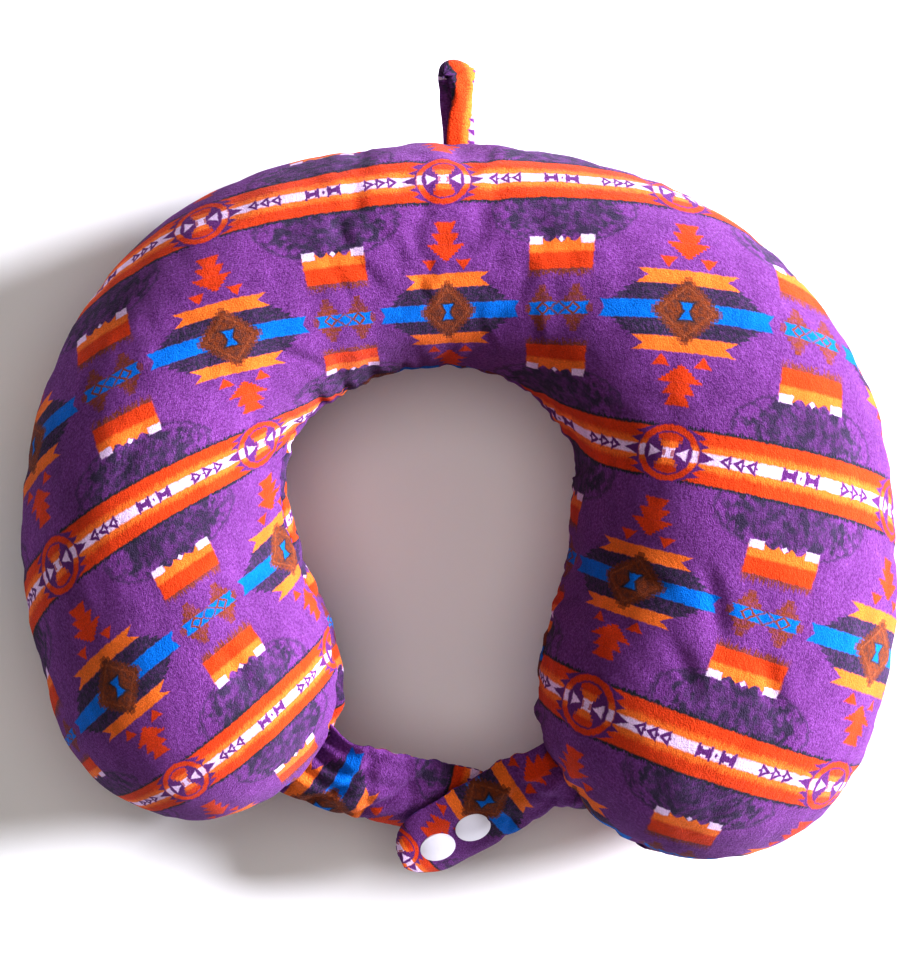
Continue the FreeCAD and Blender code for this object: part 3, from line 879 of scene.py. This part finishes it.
class Surface:
    """Material nodes in the making: a colour built up layer by layer."""

    def __init__(self, name):
        self.material = bpy.data.materials.new(name)
        self.material.use_nodes = True
        self.tree = self.material.node_tree
        self.shader = self.tree.nodes["Principled BSDF"]
        self.paint = None

    def link(self, source, entry):
        self.tree.links.new(source, entry)

    def cloth(self):
        """Place on the cloth in mm, as a vector and as two fields and the seam distance."""
        node = self.tree.nodes.new("ShaderNodeAttribute")
        node.attribute_name = "cloth_place"
        split = self.tree.nodes.new("ShaderNodeSeparateXYZ")
        self.link(node.outputs["Vector"], split.inputs[0])
        fields = [Field(self.tree, socket) for socket in split.outputs]
        return node.outputs["Vector"], fields

    def noise(self, vector, scale, detail=2.0, stretch=(1.0, 1.0, 1.0), place=(0.0, 0.0, 0.0)):
        """Noise field around 0.5 of a vector."""
        mapping = self.tree.nodes.new("ShaderNodeMapping")
        mapping.inputs["Scale"].default_value = stretch
        mapping.inputs["Location"].default_value = place
        self.link(vector, mapping.inputs["Vector"])
        node = self.tree.nodes.new("ShaderNodeTexNoise")
        node.inputs["Scale"].default_value = scale
        node.inputs["Detail"].default_value = detail
        self.link(mapping.outputs[0], node.inputs["Vector"])
        return Field(self.tree, node.outputs["Fac"])

    def shape(self, field, tint, soft=0.25):
        """Paints a colour where a field is below zero."""
        self.layer(field.inside(soft), tint)

    def layer(self, mask, tint, mode="MIX"):
        """Paints a colour where the mask is 1."""
        node = self.tree.nodes.new("ShaderNodeMix")
        node.data_type = "RGBA"
        node.blend_type = mode
        if isinstance(mask, Field):
            self.link(mask.socket, node.inputs[0])
        else:
            node.inputs[0].default_value = mask
        if self.paint is None:
            self.paint = tint
        first, second = node.inputs[6], node.inputs[7]
        for entry, value in ((first, self.paint), (second, tint)):
            if isinstance(value, tuple):
                entry.default_value = value
            else:
                self.link(value, entry)
        self.paint = node.outputs[2]

    def brighten(self, field, low, high):
        """Multiplies the colour by a field mapped from 0-1 to low-high."""
        grey = self.tree.nodes.new("ShaderNodeCombineColor")
        level = field.over(high - low, low)
        for entry in grey.inputs:
            self.link(level.socket, entry)
        self.layer(1.0, grey.outputs[0], "MULTIPLY")

    def bump(self, height, distance):
        """Bump of a height field, in metres."""
        node = self.tree.nodes.new("ShaderNodeBump")
        node.inputs["Distance"].default_value = distance
        self.link(height.socket, node.inputs["Height"])
        self.link(node.outputs[0], self.shader.inputs["Normal"])


PURPLE = colour(109, 57, 122)
PURPLE_LIGHT = colour(160, 106, 178)
DARK_GREY = colour(52, 54, 64)
BROWN = colour(134, 72, 44)
BROWN_LIGHT = colour(158, 92, 58)
BLUE = colour(14, 116, 202)
ORANGE_RED = colour(206, 76, 36)
ORANGE_LIGHT = colour(230, 124, 56)
LILAC_WHITE = colour(228, 202, 234)


# The motifs are drawn in mm from the nearest motif's middle: x and y from the diamond, xm from
# the small motif beside it, t from the middle of the band.
COMB_HALF = 10.8
COMB = (12.8, 21.4)
BAND_HALF = 8.1
BAND_MIDDLE_HALF = 1.75
CHAIN = (15.6, 27.3)
CHAIN_LINK = 3.9
MEDALLION_RADIUS = 9.9
MEDALLION_DISC = 7.3
# tiers of the small tree: from y, to y, half width at its top and how fast it widens
TREE_TIERS = (
    (16.8, 22.4, 0.3, 1.18),
    (22.2, 26.0, 2.4, 0.68),
    (25.8, 29.6, 1.9, 0.52),
)


def paint_cloud(made, xm, y, mottle, speckle):
    """Mottled cloud beside the band, with a thin outline."""
    away = ellipse(xm, y - 31.0, 17.5, 8.6)
    cloud = (away - 1.0) * 8.0 + mottle.over(-3.0, 1.2)
    made.layer(cloud.inside(1.4) * mottle.over(0.5, 0.34), DARK_GREY)
    far = ellipse(xm, y - 32.5, 24.0, 12.0)
    outline = abs((far - 1.0) * 14.0 + mottle.over(0.8, -0.4)) - 0.35
    made.layer(outline.inside(0.4) * 0.6, DARK_GREY)
    swirl = abs((away - 0.55) * 8.0 + speckle.over(2.0, -1.0)) - 0.5
    made.layer(swirl.inside(0.6) * 0.4, PURPLE)


def paint_comb(made, xm, y, streak):
    """Comb: brown fringe, orange block and white teeth."""
    aside = xm - COMB_HALF
    fringe = between(y + streak.over(-3.0, 1.5), 11.2, 15.0).most(aside)
    made.layer(fringe.inside(0.8) * 0.9, BROWN)
    made.shape(between(y, *COMB).most(aside), ORANGE_RED)
    made.shape(between(y, 18.2, COMB[1]).most(aside), ORANGE_LIGHT, 0.5)
    made.shape((abs(xm - 8.6) - 2.2).most(abs(y - 22.2) - 1.3), LILAC_WHITE)
    teeth = y - 21.0 - xm.folded(2.1) * 0.9
    made.shape(teeth.most(xm - 6.3).most(abs(y - 22.0) - 1.6), ORANGE_LIGHT)
    made.shape(xm + abs(y - 22.3) - 1.0, LILAC_WHITE)


def paint_small_motif(made, xm, y, speckle):
    """Brown steps and a blue chain."""
    steps = abs(xm - 5.8).stepped(1.2) + y.stepped(1.3) * 0.72 - 6.0
    made.layer(steps.inside() * speckle.over(0.35, 0.62), BROWN)
    made.shape((y - 2.1).most(xm - 9.4 - y.stepped(0.8) * 0.5), BLUE)
    knot = abs(xm - 5.3) * 0.9 + y
    made.shape(abs(knot - 1.9) - 0.45, BROWN)
    made.layer((abs(xm * 0.8 + y - 2.2) - 0.4).inside() * 0.8, BROWN)


def paint_diamond(made, x, y, speckle):
    """Diamond motif with its bars, and a small tree on each side."""
    reach = x - 25.5 + y * 1.2 - y.folded(0.95) * 2.4
    grey = between(y, 2.7, 8.4).most(reach)
    made.layer(grey.inside(0.4) * speckle.over(0.3, 0.62), DARK_GREY)
    made.shape((y - 2.9).most(x - 25.2 - y * 0.55), BLUE)
    reach = x - 15.9 + (y - 8.4).folded(2.4) * 1.5
    made.shape(between(y, 8.3, 13.0).most(reach), ORANGE_LIGHT)
    lozenge = (x.stepped(1.2) + y.stepped(1.2) - 10.9) * 0.7
    made.shape(lozenge, BROWN)
    made.layer(lozenge.inside() * speckle * 0.45, DARK_GREY)
    rings = (abs(x + y - 8.0) - 0.5).inside() * speckle
    made.layer(rings * 0.8, BROWN_LIGHT)
    waist = x - 0.6 - y * 0.5
    made.layer((y - 3.3).most(waist - 0.7).inside() * 0.8, DARK_GREY)
    made.shape((y - 2.7).most(waist), BLUE)
    made.shape(between(y, 14.0, 17.4).most(abs(x - 6.3) - (y - 13.8) * 0.75), ORANGE_RED)
    for low, high, narrow, slope in TREE_TIERS:
        widened = (y.stepped(0.9) - low) * slope
        made.shape(between(y, low, high).most(x - narrow - widened), ORANGE_RED)


def paint_band(made, x, xm, t, streak):
    """Band of orange with a figured pale middle and a dark fringe."""
    made.shape(t + streak.over(-1.2, 0.6) - BAND_HALF - 0.9, DARK_GREY, 0.3)
    made.shape(t - BAND_HALF, ORANGE_RED, 0.3)
    made.shape(t + streak.over(-1.0, 0.5) - 3.9, ORANGE_LIGHT, 0.9)
    made.shape(t - BAND_MIDDLE_HALF, LILAC_WHITE, 0.35)
    links = (x - CHAIN[0]).math("MODULO", CHAIN_LINK)
    reach = between(x, *CHAIN)
    made.shape(reach.most((t - links * 0.72).most(links - 3.4)), PURPLE, 0.2)
    hollow = (t - links * 0.72 + 1.15).most(links - 2.7)
    made.shape(reach.most(hollow), LILAC_WHITE, 0.18)
    made.shape(reach.most(t - 0.35).most(links.over(-1.0, 2.9)), PURPLE, 0.15)
    beside = abs(xm - 3.6)
    fan = beside.most(t * 0.9) - 2.3
    made.shape(fan.most(t - 0.5 - beside.stepped(0.8) * 0.9), PURPLE, 0.2)
    made.shape(beside * 1.4 + t - 0.9, PURPLE, 0.2)
    made.shape(abs(xm) + t * 0.6 - 0.5, PURPLE, 0.2)


def paint_medallion(made, x, t):
    """Round medallion on the band, with a stepped glass shape in it."""
    ring = ellipse(x, t, 1.0, 1.0)
    spikes = t + x * 0.44 - 6.2
    spikes = spikes.least(abs(t - 3.6) + x * 0.42 - 5.0)
    spikes = spikes.least(abs(t - 6.2) + x * 0.4 - 4.3)
    made.shape(spikes.most(x - 14.4), PURPLE, 0.22)
    made.shape(ring - MEDALLION_RADIUS, PURPLE)
    made.shape(ring - 9.3, ORANGE_RED)
    made.shape((ring - 8.9).most(t - 3.4), ORANGE_LIGHT, 0.8)
    made.shape((ring - 9.2).most(t - 1.9), LILAC_WHITE)
    made.shape(ring - MEDALLION_DISC, PURPLE)
    glass = (x.stepped(0.9) - 0.9 - t.stepped(1.1) * 0.55).most(ring - 6.7)
    made.shape(glass, ORANGE_RED)
    made.shape(glass.most(t - 3.9), ORANGE_LIGHT, 0.5)
    made.shape(glass.most(t - 1.7), LILAC_WHITE)
    made.shape((t - (x - 2.4) * 0.6).most(x - 5.8), LILAC_WHITE)


def finish_pile(made, vector, seam):
    """Worn and ruffled patches, single fibres, a shadow in the seams, and the pile's shine."""
    made.brighten(made.noise(vector, 0.028, 2.0), 0.72, 1.26)
    made.brighten(made.noise(vector, 0.13, 3.0, stretch=(1.0, 0.6, 1.0)), 0.70, 1.28)
    made.brighten(made.noise(vector, 1.7, 2.0), 0.60, 1.42)
    made.brighten(seam.contrast(0.35, 0.0), 0.72, 1.0)
    shader = made.shader
    made.link(made.paint, shader.inputs["Base Color"])
    shader.inputs["Specular IOR Level"].default_value = 0.12
    shader.inputs["Sheen Weight"].default_value = 0.12
    shader.inputs["Sheen Roughness"].default_value = 0.42
    shader.inputs["Sheen Tint"].default_value = (0.86, 0.72, 1.0, 1.0)
    worn = made.noise(vector, 0.2, 2.0)
    made.link(worn.over(0.12, 0.84).socket, shader.inputs["Roughness"])
    pile = made.noise(vector, 2.1, 3.0) + made.noise(vector, 0.5, 2.0) * 0.7
    made.bump(pile, 0.0006)


def printed_plush():
    """Short brushed pile with a stepped geometric print on purple."""
    made = Surface("printed_plush_pile")
    vector, (u, v, seam) = made.cloth()
    wander = made.noise(vector, 0.55, 2.0)
    wander_too = made.noise(vector, 0.55, 2.0, place=(31.0, 17.0, 0.0))
    x = (u + wander.over(1.1, -0.55)).folded(REPEAT_ACROSS / 2)
    y = (v + wander_too.over(1.1, -0.55)).folded(REPEAT_ALONG / 2)
    xm = x.over(-1.0, REPEAT_ACROSS / 2)
    t = y.over(-1.0, REPEAT_ALONG / 2)
    mottle = made.noise(vector, 0.30, 3.0, place=(7.0, 3.0, 0.0)).contrast(5.0, -1.9)
    speckle = made.noise(vector, 0.75, 2.0, place=(3.0, 40.0, 0.0)).contrast(5.0, -2.0)
    streak = made.noise(vector, 1.0, 2.0, stretch=(1.6, 0.22, 1.0)).contrast(3.2, -1.1)
    heather = made.noise(vector, 1.15, 3.0, place=(11.0, 5.0, 0.0)).contrast(3.4, -1.25)
    made.paint = PURPLE
    made.layer(heather * 0.42, PURPLE_LIGHT)
    paint_cloud(made, xm, y, mottle, speckle)
    paint_comb(made, xm, y, streak)
    paint_small_motif(made, xm, y, speckle)
    paint_diamond(made, x, y, speckle)
    paint_band(made, x, xm, t, streak)
    paint_medallion(made, x, t)
    finish_pile(made, vector, seam)
    return made.material


def patchy(name, base, patches, scale, detail, share):
    """Surface of one colour with faint patches of another, and its place vector."""
    made = Surface(name)
    vector = made.tree.nodes.new("ShaderNodeTexCoord").outputs["Object"]
    made.paint = base
    made.layer(made.noise(vector, scale, detail) * share, patches)
    made.link(made.paint, made.shader.inputs["Base Color"])
    return made, vector


def snap_plastic():
    """Glossy white moulded plastic, faintly uneven and scuffed."""
    tints = colour(236, 233, 242), colour(214, 210, 226)
    made, vector = patchy("snap_plastic_white", *tints, 160.0, 3.0, 0.35)
    scuffs = made.noise(vector, 900.0, 2.0, stretch=(1.0, 0.2, 1.0))
    made.link(scuffs.over(0.16, 0.24).socket, made.shader.inputs["Roughness"])
    made.shader.inputs["Coat Weight"].default_value = 0.25
    made.bump(made.noise(vector, 420.0, 2.0), 0.00008)
    return made.material


def thread_material():
    """Spun purple thread."""
    tints = colour(84, 34, 112), colour(120, 66, 150)
    made, vector = patchy("purple_thread", *tints, 2400.0, 2.0, 0.6)
    made.shader.inputs["Roughness"].default_value = 0.7
    made.bump(made.noise(vector, 3000.0, 2.0), 0.0001)
    return made.material


def fibre_material():
    """Loose white fibre filling."""
    tints = colour(238, 238, 234), colour(206, 206, 202)
    made, vector = patchy("loose_fibre", *tints, 130.0, 4.0, 0.5)
    made.shader.inputs["Roughness"].default_value = 0.95
    made.bump(made.noise(vector, 500.0, 5.0, stretch=(1.0, 0.3, 1.0)), 0.0012)
    return made.material


def floor_material():
    """Pale paper sweep."""
    tints = (0.93, 0.93, 0.93, 1.0), (0.90, 0.90, 0.905, 1.0)
    made, _ = patchy("pale_floor", *tints, 3.0, 2.0, 0.1)
    made.shader.inputs["Roughness"].default_value = 0.8
    return made.material


def finish_piece(piece, material, body, slot, *nodes):
    """Material, body and the CAD nodes that a piece stands for; the slot argument is not used."""
    piece.data.materials.clear()
    piece.data.materials.append(material)
    if body:
        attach(piece, body)
    if nodes:
        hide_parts(*nodes)


# ---- the pillow
plush = printed_plush()
thread = thread_material()
cover = make_cover()
finish_piece(cover["top_cover"], plush, "pillow", "printed_plush", "top_cover_panel")
finish_piece(cover["bottom_cover"], plush, "pillow", "printed_plush", "bottom_cover_panel")
finish_piece(cover["seam"], thread, "pillow", "sewing_thread", "cover_seam_thread")
finish_piece(cover["closing"], thread, "pillow", "sewing_thread", "closing_seam_thread")
finish_piece(cover["filling"], fibre_material(), "pillow", "polyester_fibre", "fibre_filling")

# ---- the straps
def right_print(a, b):
    """Diamond near the neck-side edge, its bars square to the strap, the band at the tip."""
    drawn_in = 0.006 * np.maximum(a - 15.0, 0) ** 2
    return (b + 7.6) * 1.15, (15.2 - a) * 1.08 - drawn_in


def left_print(a, b):
    """Diamond at the root, low on the strap."""
    return b + 14.0, a + 11.0


snap_points = {"right": SNAP_POINT, "left": SNAP_POINT - STRAP_NORMAL * STRAP_STACK}
strap_prints = {"right": right_print, "left": left_print}
for side, station, bearing, heading, length, snaps, seed in STRAPS:
    place_print = strap_prints[side]
    sheet_frame = strap_frame(heading, snap_points[side], snaps[0])
    frames = ribbon(sheet_frame, station, bearing, length)
    front, back, edge = make_strap(side, frames, snaps, place_print, seed)
    finish_piece(front, plush, None, "printed_plush", side + "_strap_front_ply", side + "_strap_sewn_end")
    finish_piece(back, plush, None, "printed_plush", side + "_strap_back_ply")
    finish_piece(edge, thread, None, "sewing_thread", side + "_strap_edge_thread")
    for piece in (front, back, edge):
        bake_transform(piece)

plastic = snap_plastic()
snap_nodes = (
    "snap_cap_inner", "snap_cap_tip", "snap_socket_inner", "snap_socket_tip",
    "snap_stud", "snap_back_cap",
)
for name in snap_nodes:
    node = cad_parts[name]
    node.data.materials.clear()
    node.data.materials.append(plastic)

# ---- the hang loop
loop = make_loop()
finish_piece(loop, plush, None, "printed_plush", "hang_loop", "hang_loop_sewn_end")
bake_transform(loop)

# ---- floor, light, camera
corners = [(across, along, 0.0) for across, along in ((-1, -1), (1, -1), (1, 1), (-1, 1))]
floor = new_object("floor", np.array(corners) * FLOOR_REACH / MM, [(0, 1, 2, 3)])
floor.data.materials.append(floor_material())

world = bpy.data.worlds.new("soft white surroundings")
world.use_nodes = True
backdrop = world.node_tree.nodes["Background"]
backdrop.inputs["Color"].default_value = WORLD_TINT
backdrop.inputs["Strength"].default_value = WORLD_STRENGTH
bpy.context.scene.world = world


def soft_lamp(name, place, softness, strength, tint):
    """Sun with soft shadows, shining from a place towards the middle of the scene."""
    lamp = bpy.data.lights.new(name, "SUN")
    lamp.angle = math.radians(softness)
    lamp.energy = strength
    lamp.color = tint
    holder = bpy.data.objects.new(name, lamp)
    holder.location = place
    holder.rotation_euler = (-Vector(place)).to_track_quat("-Z", "Y").to_euler()
    bpy.context.scene.collection.objects.link(holder)


for lamp in LAMPS:
    soft_lamp(*lamp)

eye = bpy.data.cameras.new("camera")
eye.lens = CAMERA_LENS
eye.sensor_width = 36.0
camera = bpy.data.objects.new("camera", eye)
camera.location = CAMERA_PLACE
camera.rotation_euler = (0.0, 0.0, 0.0)
bpy.context.scene.collection.objects.link(camera)
bpy.context.scene.camera = camera
bpy.context.scene.view_settings.view_transform = "Standard"
bpy.context.scene.view_settings.look = "High Contrast"
